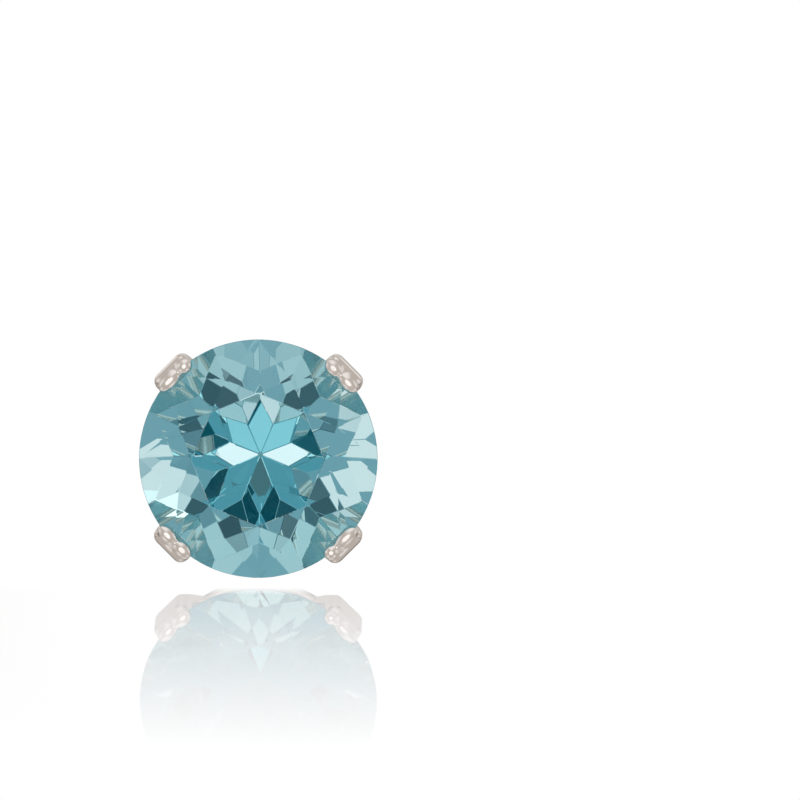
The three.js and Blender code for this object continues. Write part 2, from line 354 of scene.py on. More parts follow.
@dataclass(frozen=True)
class PolishMarks:
    """Hair-fine marks that a polishing wheel leaves, as a shader node group for every silver piece.

    Attributes:
        name: The group's name.
        sweeps: For each sweep of the wheel its turn, in radians, and how far its marks are stretched.
        mark_detail: Layers of finer marks in each sweep.
        patch_scale: Fineness of the hazy patches.
        patch_detail: Layers of finer haze in them.
    """

    name: str = "polish_marks"
    sweeps: tuple[tuple[tuple[float, float, float], float], ...] = (
        ((0.4, 0.28, 0.52), 26.0),
        ((1.9, 1.33, 2.47), 34.0),
    )
    mark_detail: float = 3.0
    patch_scale: float = 900.0
    patch_detail: float = 4.0

    def group(self) -> bpy.types.NodeTree:
        """Builds the group once and returns it.

        Returns:
            The group, with Scale in, and Height and Haze out.
        """
        if self.name in bpy.data.node_groups:
            return bpy.data.node_groups[self.name]
        group = bpy.data.node_groups.new(self.name, "ShaderNodeTree")
        add_socket(group, "Scale", "INPUT")
        add_socket(group, "Height", "OUTPUT")
        add_socket(group, "Haze", "OUTPUT")
        scale = group.nodes.new("NodeGroupInput").outputs["Scale"]
        place = add_node(group, "TexCoord").outputs["Object"]
        heights = []
        for turn, stretch in self.sweeps:
            inputs = {"Rotation": turn, "Scale": (1.0, stretch, stretch), "Vector": place}
            lines = add_node(group, "Mapping", inputs).outputs["Vector"]
            inputs = {"Detail": self.mark_detail, "Vector": lines, "Scale": scale}
            noise = add_node(group, "TexNoise", inputs)
            heights.append(noise.outputs["Fac"])
        both = add_node(group, "Math", dict(enumerate(heights)), operation="ADD")
        inputs = {"Scale": self.patch_scale, "Detail": self.patch_detail, "Vector": place}
        patches = add_node(group, "TexNoise", inputs)
        result = group.nodes.new("NodeGroupOutput")
        set_inputs(group, result, {"Height": both.outputs["Value"], "Haze": patches.outputs["Fac"]})
        return group


@dataclass(frozen=True)
class PaintedCreviceShade:
    """Painted shade where pieces meet and in creases: a mask that darkens the metal where little light
    reaches, as a shader node group for every silver piece.

    Attributes:
        name: The group's name.
        reach: How far off the facing metal may be, in metres.
        closed: Openness at which a place is all crevice.
        clear: Openness at which it is all open metal.
        samples: Rays that measure the openness.
    """

    name: str = "crevice_shade"
    reach: float = 0.0004
    closed: float = 0.35
    clear: float = 0.85
    samples: int = 8

    def group(self) -> bpy.types.NodeTree:
        """Builds the group once and returns it.

        Returns:
            The group, with Mask out for the painted shade: one in a crevice and nought on open metal.
        """
        if self.name in bpy.data.node_groups:
            return bpy.data.node_groups[self.name]
        group = bpy.data.node_groups.new(self.name, "ShaderNodeTree")
        add_socket(group, "Mask", "OUTPUT")
        inputs = {"Distance": self.reach}
        # Ambient occlusion measures how closed in a place is; the painted shade follows it.
        shade = add_node(group, "AmbientOcclusion", inputs, samples=self.samples, only_local=True)
        spread = add_node(group, "MapRange", {
            "From Min": self.closed,
            "From Max": self.clear,
            "To Min": 1.0,
            "To Max": 0.0,
            "Value": shade.outputs["AO"],
        })
        set_inputs(group, group.nodes.new("NodeGroupOutput"), {"Mask": spread.outputs["Result"]})
        return group


@dataclass(frozen=True)
class SilverFinish:
    """Polished silver, with painted shade in its crevices.

    Attributes:
        name: The material's name.
        bright: Colour of open metal.
        painted_shade: Colour painted into the crevices as shade.
        roughness: Of the clearest polish.
        haze: How much rougher the hazy patches are.
        haze_start: Patch value at which the haze starts.
        haze_full: Patch value at which it is strongest.
        mark_scale: Fineness of the polishing marks.
        mark_height: Depth of the marks, in metres.
        mark_strength: How clearly they show.
    """

    name: str
    bright: tuple[float, float, float] = (0.9, 0.84, 0.8)
    painted_shade: tuple[float, float, float] = (0.34, 0.29, 0.26)
    roughness: float = 0.16
    haze: float = 0.12
    haze_start: float = 0.3
    haze_full: float = 0.75
    mark_scale: float = 420.0
    mark_height: float = 0.000002
    mark_strength: float = 0.35

    def material(self) -> bpy.types.Material:
        """Builds the material.

        Returns:
            The material, with the polish marks and the crevice shade in it.
        """
        material = bpy.data.materials.new(self.name)
        material.use_nodes = True
        tree = material.node_tree
        marks = add_node(tree, "Group", node_tree=PolishMarks().group())
        set_inputs(tree, marks, {"Scale": self.mark_scale})
        # Painted shade: crevices and creases get a darker metal colour, by how closed in they are.
        crevice = add_node(tree, "Group", node_tree=PaintedCreviceShade().group())
        colour = add_node(tree, "Mix", data_type="RGBA")
        set_inputs(tree, colour, {
            "A": (*self.bright, 1.0),
            "B": (*self.painted_shade, 1.0),
            "Factor": crevice.outputs["Mask"],
        })
        rough = add_node(tree, "MapRange", {
            "From Min": self.haze_start,
            "From Max": self.haze_full,
            "To Min": self.roughness,
            "To Max": self.roughness + self.haze,
            "Value": marks.outputs["Haze"],
        })
        bump = add_node(tree, "Bump", {
            "Strength": self.mark_strength,
            "Distance": self.mark_height,
            "Height": marks.outputs["Height"],
        })
        set_inputs(tree, tree.nodes["Principled BSDF"], {
            "Metallic": 1.0,
            "Base Color": colour.outputs["Result"],
            "Roughness": rough.outputs["Result"],
            "Normal": bump.outputs["Normal"],
        })
        return material


@dataclass(frozen=True)
class TopazFinish:
    """Clear blue stone with polished facets.

    Attributes:
        name: The material's name.
        ior: Refractive index.
        body: Colour that white light takes on through the stone.
        depth: Absorption, per metre.
        roughness: Of the surface.
    """

    name: str
    ior: float = 1.62
    body: tuple[float, float, float] = (0.04, 0.84, 0.94)
    depth: float = 130.0
    roughness: float = 0.0

    def material(self) -> bpy.types.Material:
        """Builds the material.

        Returns:
            The material: a glass surface over a plain absorbing volume.
        """
        material = bpy.data.materials.new(self.name)
        material.use_nodes = True
        tree = material.node_tree
        set_inputs(tree, tree.nodes["Principled BSDF"], {
            "Base Color": WHITE,
            "Roughness": self.roughness,
            "IOR": self.ior,
            "Transmission Weight": 1.0,
        })
        volume = add_node(tree, "VolumeAbsorption", {"Color": (*self.body, 1.0), "Density": self.depth})
        set_inputs(tree, tree.nodes["Material Output"], {"Volume": volume.outputs["Volume"]})
        return material


def turned_piece(name: str, sides: int, rows: tuple[tuple[float, float], ...]) -> bpy.types.Object:
    """Turns a solid about the axis: a disc that is drawn on from row to row.

    Args:
        name: The piece's name.
        sides: How many sides the disc has.
        rows: The profile from its lowest row up, as radius and height.

    Returns:
        The closed solid.
    """
    radius, height = rows[0]
    bpy.ops.mesh.primitive_circle_add(
        vertices=sides, radius=radius, fill_type="NGON", location=(0, 0, height)
    )
    piece = new_piece(name)
    bpy.ops.object.transform_apply(location=True)
    open_faces()
    for next_radius, next_height in rows[1:]:
        draw_on(Vector((0, 0, next_height - height)), (next_radius / radius,) * 2, next_height)
        radius, height = next_radius, next_height
    bpy.ops.object.mode_set(mode="OBJECT")
    tidy_mesh(piece)
    return piece


@dataclass(frozen=True)
class Corner:
    """A corner that facets share: its distance from the axis and its height."""

    radius: float
    height: float

    def at(self, degrees: float) -> Vector:
        """The corner's place at an angle round the axis.

        Args:
            degrees: The angle.

        Returns:
            The place, in millimetres.
        """
        return polar(self.radius, degrees, self.height)


@dataclass(frozen=True)
class Tier:
    """A family of facets that are ground alike.

    Attributes:
        name: What a cutter calls it.
        count: How many there are, spread evenly round the stone.
        corners: Three corners of the first facet's plane.
        steps: Where each corner stands, in half steps from one kite to the next.
    """

    name: str
    count: int
    corners: tuple[Corner, Corner, Corner]
    steps: tuple[int, int, int]


@dataclass
class Stone:
    """The round brilliant, ground from a round blank one facet at a time.

    Attributes:
        width: Across the girdle.
        table_width: Across the table's corners.
        culet_width: Across the corners of the tiny facet at the point.
        girdle_height: The girdle's thickest places.
        crown_angle: Of the kite facets above the girdle, in degrees.
        star_reach: How far the star facets run from the table's edge to the girdle.
        main_angle: Of the main facets round the point, in degrees.
        main_corner: Radius of the mains' side corners.
        main_tip: Radius of the mains' outer tips.
        break_angle: Of the narrow facets under the girdle, in degrees.
        break_reach: How far those facets reach in from the girdle.
        mains: How many main facets there are.
        girdle_sides: Sides of the round blank.
        edge: Width of the worn edge between two facets.
        edge_turn: The smallest turn between two facets whose edge is worn, in degrees.
        upright: How far a girdle face's normal may lean out of the level, as a height.
        girdle_roughness: Of the girdle, which is ground and not polished.
    """

    width: float = 7.0
    table_width: float = 3.9
    culet_width: float = 0.14
    girdle_height: float = 0.2
    crown_angle: float = 19.0
    star_reach: float = 0.42
    main_angle: float = 43.4
    main_corner: float = 1.0
    main_tip: float = 1.71
    break_angle: float = 57.0
    break_reach: float = 0.35
    mains: int = 8
    girdle_sides: int = 128
    edge: float = 0.012
    edge_turn: float = 4.0
    upright: float = 0.02
    girdle_roughness: float = 0.35

    @property
    def radius(self) -> float:
        """Half the stone's width."""
        return self.width / 2

    @property
    def girdle(self) -> float:
        """From the axis to the middle of one side of the blank."""
        return self.radius * math.cos(math.pi / self.girdle_sides)

    @property
    def step(self) -> float:
        """Degrees from one kite's middle to halfway to the next."""
        return 180.0 / self.mains

    def crown(self) -> dict[str, Corner]:
        """The corners of the crown's facets.

        Returns:
            The corners by name.
        """
        between = math.radians(self.step)
        low = self.girdle_height / 2
        rise = slope(self.crown_angle)
        table_radius = self.table_width / 2
        table_edge = table_radius * math.cos(between)
        star_tip = table_edge + self.star_reach * (self.girdle - table_edge)
        return {
            "table": Corner(table_radius, low + (self.girdle - table_radius) * rise),
            "tip": Corner(star_tip, low + (self.girdle - star_tip * math.cos(between)) * rise),
            "girdle": Corner(self.girdle, low),
        }

    def pavilion(self) -> dict[str, Corner]:
        """The corners of the pavilion's facets.

        Returns:
            The corners by name.
        """
        between = math.radians(self.step)
        rise = slope(self.main_angle)
        break_radius = self.girdle - self.break_reach
        break_drop = self.break_reach * math.cos(between / 2) * slope(self.break_angle)
        side_rise = self.main_tip - self.main_corner * math.cos(between)
        side_slope = side_rise / (self.main_tip * math.cos(between) - self.main_corner) * rise
        break_height = -self.girdle_height / 2 - break_drop
        corner_height = break_height - (break_radius - self.main_corner) * side_slope
        point_height = corner_height - self.main_corner * math.cos(between) * rise
        culet_radius = self.culet_width / 2
        return {
            "girdle": Corner(self.girdle, -self.girdle_height / 2),
            "break": Corner(break_radius, break_height),
            "corner": Corner(self.main_corner, corner_height),
            "tip": Corner(self.main_tip, point_height + self.main_tip * rise),
            "point": Corner(0.0, point_height),
            "culet": Corner(culet_radius, point_height + culet_radius * math.cos(between) * rise),
        }

    def culet_height(self) -> float:
        """The height of the tiny facet at the stone's point."""
        return self.pavilion()["culet"].height

    def tiers(self) -> tuple[Tier, ...]:
        """The facet families in the order in which they are ground.

        Returns:
            The families.
        """
        crown = self.crown()
        pavilion = self.pavilion()
        table, tip, edge = crown["table"], crown["tip"], crown["girdle"]
        point, corner, main_tip = pavilion["point"], pavilion["corner"], pavilion["tip"]
        under, outer, culet = pavilion["girdle"], pavilion["break"], pavilion["culet"]
        return (
            Tier("kites", self.mains, (edge, tip, tip), (0, 1, -1)),
            Tier("stars", self.mains, (table, table, tip), (0, 2, 1)),
            Tier("right uppers", self.mains, (edge, edge, tip), (0, 1, 1)),
            Tier("left uppers", self.mains, (edge, edge, tip), (0, -1, -1)),
            Tier("table", 1, (table, table, table), (0, 2, 4)),
            Tier("mains", self.mains, (point, corner, corner), (0, 1, -1)),
            Tier("sides", self.mains, (corner, main_tip, main_tip), (1, 0, 2)),
            Tier("right breaks", self.mains, (under, under, outer), (0, 1, 1)),
            Tier("left breaks", self.mains, (under, under, outer), (0, -1, -1)),
            Tier("culet", 1, (culet, culet, culet), (1, 3, 5)),
        )

    def grind(self, first: Vector, second: Vector, third: Vector) -> None:
        """Grinds one facet of the blank in edit mode.

        Args:
            first: A corner of the facet's plane.
            second: Another corner.
            third: The last corner.
        """
        outward = (second - first).cross(third - first).normalized()
        if outward.dot(first) < 0:
            outward.negate()
        bpy.ops.mesh.select_all(action="SELECT")
        bpy.ops.mesh.bisect(
            plane_co=first, plane_no=outward, use_fill=True, clear_outer=True, threshold=GRIND_WELD
        )

    def blank(self) -> bpy.types.Object:
        """The round blank, longer than the stone."""
        bpy.ops.mesh.primitive_cylinder_add(
            vertices=self.girdle_sides, radius=self.radius, depth=2 * self.width
        )
        piece = new_piece("stone")
        turn_about_axis(piece, 180.0 / self.girdle_sides)
        return piece

    def build(self) -> bpy.types.Object:
        """Grinds the blank.

        Returns:
            The stone about the stud's axis.
        """
        piece = self.blank()
        make_active(piece)
        open_faces()
        for tier in self.tiers():
            LOG.debug("%s: %d facets", tier.name, tier.count)
            for index in range(tier.count):
                rows = zip(tier.corners, tier.steps)
                self.grind(*(corner.at((2 * index + step) * self.step) for corner, step in rows))
        bpy.ops.object.mode_set(mode="OBJECT")
        tidy_mesh(piece)
        return piece

    def seat_cutter(self, gap: float) -> bpy.types.Object:
        """A slightly larger stone to cut the claws' seats with.

        Args:
            gap: The room between the stone and its seat.

        Returns:
            The solid to cut with.
        """
        cutter = self.build()
        make_active(cutter)
        bpy.ops.transform.resize(value=(1 + gap / self.radius,) * 3)
        bpy.ops.object.transform_apply(scale=True)
        return cutter

    def soften(self, piece: bpy.types.Object) -> None:
        """Gives the facets' edges a hair's width of wear.

        Args:
            piece: The ground stone.
        """
        round_edges(piece, self.edge, 1, self.edge_turn)

    def finish(self, piece: bpy.types.Object) -> None:
        """Polishes the facets and leaves the girdle ground.

        Args:
            piece: The stone, still about its own axis.
        """
        for finish in (TopazFinish("topaz"), TopazFinish("ground girdle", roughness=self.girdle_roughness)):
            piece.data.materials.append(finish.material())
        for face in piece.data.polygons:
            face.use_smooth = False
            face.material_index = int(abs(face.normal.z) < self.upright)


@dataclass(frozen=True)
class ClawForm:
    """What differs from claw to claw.

    Attributes:
        name: Where the claw stands on the finished stud, as seen from in front.
        turn: Its angle round the axis, in degrees.
        split: How far its crease is off the middle, anticlockwise.
        swell: How full its first lobe is, as a share of the second.
    """

    name: str
    turn: float
    split: float
    swell: float


@dataclass
class Setting:
    """Claws, gallery rail, base plate and post, cast and soldered into one piece of silver.

    Attributes:
        stone: The stone that it holds.
        claws: The four claws.
        claw_width: Across a claw at the stone.
        foot_width: Across its foot.
        claw_corner: Rounding of its long edges.
        proud: How far a claw stands out past the girdle.
        bow: How far it bows out between foot and shoulder.
        shoulder_drop: From the girdle's middle down to the start of the straight upper stretch.
        cover: How far the nose reaches in over the stone.
        nose_wall: Metal above the stone under the nose.
        lobe_rise: How far the two lobes stand up over the strap.
        lobe_reach: How far the lobes reach out from the nose's inner edge.
        lobe_overlap: How far they run into each other.
        seat_gap: Between the stone and its seat.
        rail_wire: Thickness of the gallery rail.
        rail_drop: From the girdle's middle down to the rail.
        culet_gap: From the stone's point to the base.
        base_radius: Of the base plate.
        base_wall: Its thickness.
        post_width: Thickness of the post.
        post_length: From the back of the base to the tip.
        fillet: Solder round the post's root.
        groove_from_tip: From the tip to the middle of the friction groove.
        groove_width: Length of the groove.
        groove_depth: Its depth.
        base_edge: Rounding of the base plate's rim.
        strap_steps: Stretches that a claw's bow is drawn in.
        grain: How finely the casting's skin is meshed.
        flow: How much the skin is evened out each time.
        flow_rounds: How many times.
    """

    stone: Stone
    claws: tuple[ClawForm, ...] = (
        ClawForm("upper right", 45.0, 0.06, 0.9),
        ClawForm("upper left", 135.0, -0.16, 1.0),
        ClawForm("lower left", 225.0, 0.04, 0.85),
        ClawForm("lower right", 315.0, -0.2, 1.0),
    )
    claw_width: float = 1.28
    foot_width: float = 0.8
    claw_corner: float = 0.24
    proud: float = 0.34
    bow: float = 0.1
    shoulder_drop: float = 0.8
    cover: float = 0.27
    nose_wall: float = 0.34
    lobe_rise: float = 0.12
    lobe_reach: float = 0.46
    lobe_overlap: float = 0.03
    seat_gap: float = 0.03
    rail_wire: float = 0.5
    rail_drop: float = 2.3
    culet_gap: float = 0.4
    base_radius: float = 1.5
    base_wall: float = 0.4
    post_width: float = 0.84
    post_length: float = 9.8
    fillet: float = 0.22
    groove_from_tip: float = 1.5
    groove_width: float = 0.5
    groove_depth: float = 0.07
    base_edge: float = 0.06
    strap_steps: int = 10
    grain: float = 0.04
    flow: float = 0.5
    flow_rounds: int = 2

    @property
    def base_top(self) -> float:
        """Height of the base plate's upper face."""
        return self.stone.culet_height() - self.culet_gap

    @property
    def base_back(self) -> float:
        """Height of the base plate's back face, which lies on the ear lobe."""
        return self.base_top - self.base_wall

    @property
    def top(self) -> float:
        """Height of the claws' highest places."""
        stone = self.stone
        return stone.girdle_height / 2 + self.cover * slope(stone.crown_angle) + self.nose_wall

    @property
    def outer(self) -> float:
        """From the axis to the claws' outer faces."""
        return self.stone.radius + self.proud

    def outer_face(self, share: float) -> Vector:
        """The claw's outer face between its foot and its shoulder.

        Args:
            share: From nought at the foot to one at the shoulder.

        Returns:
            Radius and height, as X and Z.
        """
        foot = Vector((self.base_radius, 0.0, self.base_back))
        shoulder = Vector((self.outer, 0.0, -self.shoulder_drop))
        along = (shoulder - foot).normalized()
        bend = (foot + shoulder) / 2 + Vector((along.z, 0.0, -along.x)) * 2 * self.bow
        return (1 - share) ** 2 * foot + 2 * share * (1 - share) * bend + share**2 * shoulder

    def wall(self) -> float:
        """The claw's thickness, measured level."""
        rise = Vector((self.outer - self.base_radius, 0.0, -self.shoulder_drop - self.base_back))
        return (self.proud + self.cover) / rise.normalized().z

    def width_at(self, radius: float) -> float:
        """The claw's width at a distance from the axis.

        Args:
            radius: The distance.

        Returns:
            The width.
        """
        inner = self.base_radius / 2
        share = (radius - inner) / (self.stone.radius - self.cover - inner)
        return self.foot_width + min(max(share, 0.0), 1.0) * (self.claw_width - self.foot_width)

    def strap(self) -> bpy.types.Object:
        """One claw's strap along +X, drawn up from its foot.

        Returns:
            The closed strap, up to just above the stone's edge.
        """
        wall = self.wall()
        stations = []
        for index in range(self.strap_steps + 1):
            share = index / self.strap_steps
            face = self.outer_face(share)
            reach = wall + (self.proud + self.cover - wall) * share**3
            stations.append((face.x, face.x - reach, face.z))
        straight = self.top - self.lobe_rise
        stations.append((self.outer, self.outer - self.proud - self.cover, straight))
        outer, inner, height = stations[0]
        width = self.width_at((outer + inner) / 2)
        bpy.ops.mesh.primitive_plane_add(size=1, location=((outer + inner) / 2, 0, height))
        piece = new_piece("claw")
        piece.scale = (outer - inner, width, 1)
        bpy.ops.object.transform_apply(location=True, scale=True)
        open_faces()
        for next_outer, next_inner, next_height in stations[1:]:
            middle = (next_outer + next_inner) / 2
            move = Vector((middle - (outer + inner) / 2, 0, next_height - height))
            next_width = self.width_at(middle)
            ratio = ((next_outer - next_inner) / (outer - inner), next_width / width)
            draw_on(move, ratio, next_height, middle)
            outer, inner, height, width = next_outer, next_inner, next_height, next_width
        bpy.ops.object.mode_set(mode="OBJECT")
        tidy_mesh(piece)
        round_edges(piece, self.claw_corner, 3, SHARP_EDGE)
        return piece

    def lobe(self, middle: float, half_width: float, fullness: float) -> bpy.types.Object:
        """One of the two rounded lobes that the nose ends in.

        Args:
            middle: Its place across the claw.
            half_width: Half its width across the claw.
            fullness: How full it is, as a share of the fullest lobe.

        Returns:
            The closed lobe.
        """
        inner = self.stone.radius - self.cover
        depth = self.nose_wall / 2 * fullness
        bpy.ops.mesh.primitive_uv_sphere_add(
            segments=32,
            ring_count=16,
            radius=1,
            location=(inner + self.lobe_reach / 2, middle, self.top - depth),
            scale=(self.lobe_reach / 2, half_width, depth),
        )
        piece = new_piece("lobe")
        bpy.ops.object.transform_apply(location=True, scale=True)
        return piece

    def claw(self, form: ClawForm) -> bpy.types.Object:
        """One claw with its nose, turned to its place.

        Args:
            form: What sets this claw apart.

        Returns:
            The closed claw.
        """
        piece = self.strap()
        piece.name = form.name
        half = self.claw_width / 2
        for sign, fullness in ((1, form.swell), (-1, 1.0)):
            reach = (half - sign * form.split + self.lobe_overlap) / 2
            combine(piece, self.lobe(sign * (half - reach), reach, fullness), Join.ADD)
        turn_about_axis(piece, form.turn)
        return piece

    def casting(self) -> bpy.types.Object:
        """The four claws and the rail as they come from the mould, in one skin.

        Returns:
            The closed casting.
        """
        drop = -self.rail_drop
        radius = self.rail_radius()
        bpy.ops.mesh.primitive_torus_add(
            major_radius=radius, minor_radius=self.rail_wire / 2, major_segments=64, minor_segments=16,
            location=(0, 0, drop),
        )
        casting = new_piece("setting")
        bpy.ops.object.transform_apply(location=True)
        for form in self.claws:
            claw = self.claw(form)
            make_active(casting)
            claw.select_set(True)
            bpy.ops.object.join()
        skin = casting.modifiers.new("skin", "REMESH")
        skin.mode = "VOXEL"
        skin.voxel_size = self.grain
        apply_modifier(casting, skin)
        flow = casting.modifiers.new("flow", "SMOOTH")
        flow.factor = self.flow
        flow.iterations = self.flow_rounds
        apply_modifier(casting, flow)
        return casting

    def rail_radius(self) -> float:
        """The rail's radius, which follows the middle of the claws at its height."""
        low, high = 0.0, 1.0
        for _ in range(30):
            middle = (low + high) / 2
            if self.outer_face(middle).z < -self.rail_drop:
                low = middle
            else:
                high = middle
        return self.outer_face(low).x - self.wall() / 2

    def base_and_post(self) -> bpy.types.Object:
        """The base plate and the post, turned in one piece.

        Returns:
            The closed solid.
        """
        radius = self.post_width / 2
        tip = self.base_back - self.post_length
        groove = tip + self.groove_from_tip
        rows = [(0.04, tip)]
        for angle in (15, 30, 45, 60, 75, 90):
            turn = math.radians(angle)
            rows.append((radius * math.sin(turn), tip + radius * (1 - math.cos(turn))))
        for share in (-1.0, -0.6, -0.2, 0.2, 0.6, 1.0):
            depth = self.groove_depth * (1 - share**2)
            rows.append((radius - depth, groove + share * self.groove_width / 2))
        for angle in (0, 22.5, 45, 67.5, 90):
            turn = math.radians(angle)
            solder = radius + self.fillet * (1 - math.cos(turn))
            rows.append((solder, self.base_back - self.fillet * (1 - math.sin(turn))))
        rim = self.base_edge
        rows.append((self.base_radius - rim, self.base_back))
        rows.append((self.base_radius - rim / 3, self.base_back + rim / 3))
        rows.append((self.base_radius, self.base_back + rim))
        rows.append((self.base_radius, self.base_top - rim))
        rows.append((self.base_radius - rim / 3, self.base_top - rim / 3))
        rows.append((self.base_radius - rim, self.base_top))
        return turned_piece("base and post", 64, tuple(rows))

    def build(self) -> bpy.types.Object:
        """Casts the setting, solders on the base and post and cuts the stone's seats.

        Returns:
            The setting about the stud's axis.
        """
        piece = self.casting()
        combine(piece, self.base_and_post(), Join.ADD)
        combine(piece, self.stone.seat_cutter(self.seat_gap), Join.CUT)
        piece.name = "setting"
        return piece


@dataclass
class ButterflyNut:
    """The nut: a plate with a collared hole, and its two ends rolled back into scrolls.

    Attributes:
        setting: The setting whose post it grips.
        lobe_room: Between the base and the nut, where the ear lobe goes.
        nut_gap: Between the hole and the post.
        scroll_gap: Between the scrolls and the post.
        strip_wall: The sheet that the nut is stamped from.
        strip_width: Of the scrolled ends.
        plate_width: Left to right.
        plate_height: Top to bottom.
        plate_corner: Rounding of the plate.
        scroll_radius: Of the strip's middle line where it leaves the plate.
        scroll_shrink: Share of that radius that it loses over its second half turn.
        scroll_start: Degrees round the scroll's centre where the strip leaves the plate.
        scroll_end: Degrees where it ends.
        scroll_steps: Stretches that a scroll is drawn in.
        collar_wall: Of the drawn collar round the hole.
        collar_height: How far the collar stands behind the plate.
        collar_sink: How far its solid stays under the plate's front.
        edge: Rounding of the stamped edges.
    """

    setting: Setting
    lobe_room: float = 5.0
    nut_gap: float = 0.03
    scroll_gap: float = 0.06
    strip_wall: float = 0.3
    strip_width: float = 3.9
    plate_width: float = 3.6
    plate_height: float = 4.0
    plate_corner: float = 0.8
    scroll_radius: float = 1.0
    scroll_shrink: float = 0.5
    scroll_start: float = -90.0
    scroll_end: float = 300.0
    scroll_steps: int = 40
    collar_wall: float = 0.28
    collar_height: float = 0.35
    collar_sink: float = 0.02
    edge: float = 0.05

    @property
    def post_radius(self) -> float:
        """Half the post's thickness."""
        return self.setting.post_width / 2

    @property
    def plate_front(self) -> float:
        """Height of the plate's face towards the ear lobe."""
        return self.setting.base_back - self.lobe_room

    @property
    def plate_back(self) -> float:
        """Height of the plate's other face."""
        return self.plate_front - self.strip_wall

    def bar(self, name: str, radius: float, bottom: float, top: float) -> bpy.types.Object:
        """A round bar on the axis.

        Args:
            name: The piece's name.
            radius: Its radius.
            bottom: The height where it starts.
            top: The height where it ends.

        Returns:
            The bar.
        """
        return turned_piece(name, 64, ((radius, bottom), (radius, top)))

    def plate(self) -> bpy.types.Object:
        """The rounded plate.

        Returns:
            The plate, without its hole.
        """
        middle = (self.plate_front + self.plate_back) / 2
        bpy.ops.mesh.primitive_cube_add(size=1, location=(0, 0, middle))
        piece = new_piece("butterfly_nut")
        piece.scale = (self.plate_width, self.plate_height, self.strip_wall)
        bpy.ops.object.transform_apply(location=True, scale=True)
        bpy.ops.object.mode_set(mode="EDIT")
        bpy.ops.mesh.select_mode(type="EDGE")
        bpy.ops.mesh.select_all(action="DESELECT")
        bpy.ops.object.mode_set(mode="OBJECT")
        for rib in piece.data.edges:
            first, second = (piece.data.vertices[index].co for index in rib.vertices)
            rib.select = abs(first.z - second.z) > self.strip_wall / 2
        bpy.ops.object.mode_set(mode="EDIT")
        bpy.ops.mesh.bevel(offset=self.plate_corner, segments=8)
        bpy.ops.object.mode_set(mode="OBJECT")
        return piece

    def scroll_place(self, degrees: float) -> Vector:
        """A place on the middle line of the right scroll.

        Args:
            degrees: The angle round the scroll's centre.

        Returns:
            The place about the stud's axis.
        """
        shrink = max(0.0, (degrees - 90) / 180) * self.scroll_shrink
        radius = self.scroll_radius * (1 - shrink)
        nearest = self.scroll_radius * (1 - self.scroll_shrink / 2) + self.strip_wall / 2
        centre = self.post_radius + self.scroll_gap + nearest
        angle = math.radians(degrees)
        behind = self.scroll_radius + radius * math.sin(angle)
        plate_middle = self.plate_front - self.strip_wall / 2
        return Vector((centre + radius * math.cos(angle), 0.0, plate_middle - behind))

    def scroll(self, hand: Scroll) -> bpy.types.Object:
        """One end of the strip, rolled back.

        Args:
            hand: Which of the two.

        Returns:
            The closed scroll.
        """
        root = self.post_radius + self.nut_gap + self.collar_wall / 2
        turn_each = (self.scroll_end - self.scroll_start) / self.scroll_steps
        turns = [self.scroll_start + turn_each * index for index in range(self.scroll_steps + 1)]
        places = [self.scroll_place(turn) for turn in turns]
        start = Vector((root, 0.0, places[0].z))
        bpy.ops.mesh.primitive_plane_add(size=1, location=start, rotation=(0, math.pi / 2, 0))
        piece = new_piece("scroll")
        piece.scale = (self.strip_wall, self.strip_width, 1)
        bpy.ops.object.transform_apply(location=True, rotation=True, scale=True)
        open_faces()
        bpy.ops.mesh.extrude_region_move(TRANSFORM_OT_translate={"value": places[0] - start})
        for before, place in zip(places, places[1:]):
            bpy.ops.mesh.extrude_region_move(TRANSFORM_OT_translate={"value": place - before})
            bpy.ops.transform.rotate(
                value=-math.radians(turn_each), orient_axis="Y", center_override=place
            )
        bpy.ops.object.mode_set(mode="OBJECT")
        tidy_mesh(piece)
        turn_about_axis(piece, hand.value)
        return piece

    def build(self) -> bpy.types.Object:
        """Stamps and rolls the nut.

        Returns:
            The nut about the stud's axis.
        """
        hole = self.post_radius + self.nut_gap
        back = self.plate_back - self.collar_height
        piece = self.plate()
        front = self.plate_front - self.collar_sink
        combine(piece, self.bar("collar", hole + self.collar_wall, back, front), Join.ADD)
        for hand in Scroll:
            combine(piece, self.scroll(hand), Join.ADD)
        combine(piece, self.bar("hole", hole, back - 1, self.plate_front + 1), Join.CUT)
        round_edges(piece, self.edge, 2, SHARP_EDGE)
        return piece


@dataclass(frozen=True)
class Softbox:
    """A round card, white, grey, black or tinted, that hangs far enough away to belong to the world.

    Attributes:
        name: What it is for.
        azimuth: Degrees to the right, as seen from the stud towards its front.
        elevation: Degrees up.
        reach: Half its width, in degrees.
        light: Its brightness, where one is the white floor's.
        tint: Its colour.
        soft: How wide its edge fades, in degrees.
        paired: Whether its twin hangs on the left too.
    """

    name: str
    azimuth: float
    elevation: float
    reach: float
    light: float
    tint: Tint = Tint.WHITE
    soft: float = 3.0
    paired: bool = False

    def directions(self) -> list[Vector]:
        """The directions from the stud to the card and to its twin."""
        sides = (1, -1) if self.paired else (1,)
        return [direction(side * self.azimuth, self.elevation) for side in sides]


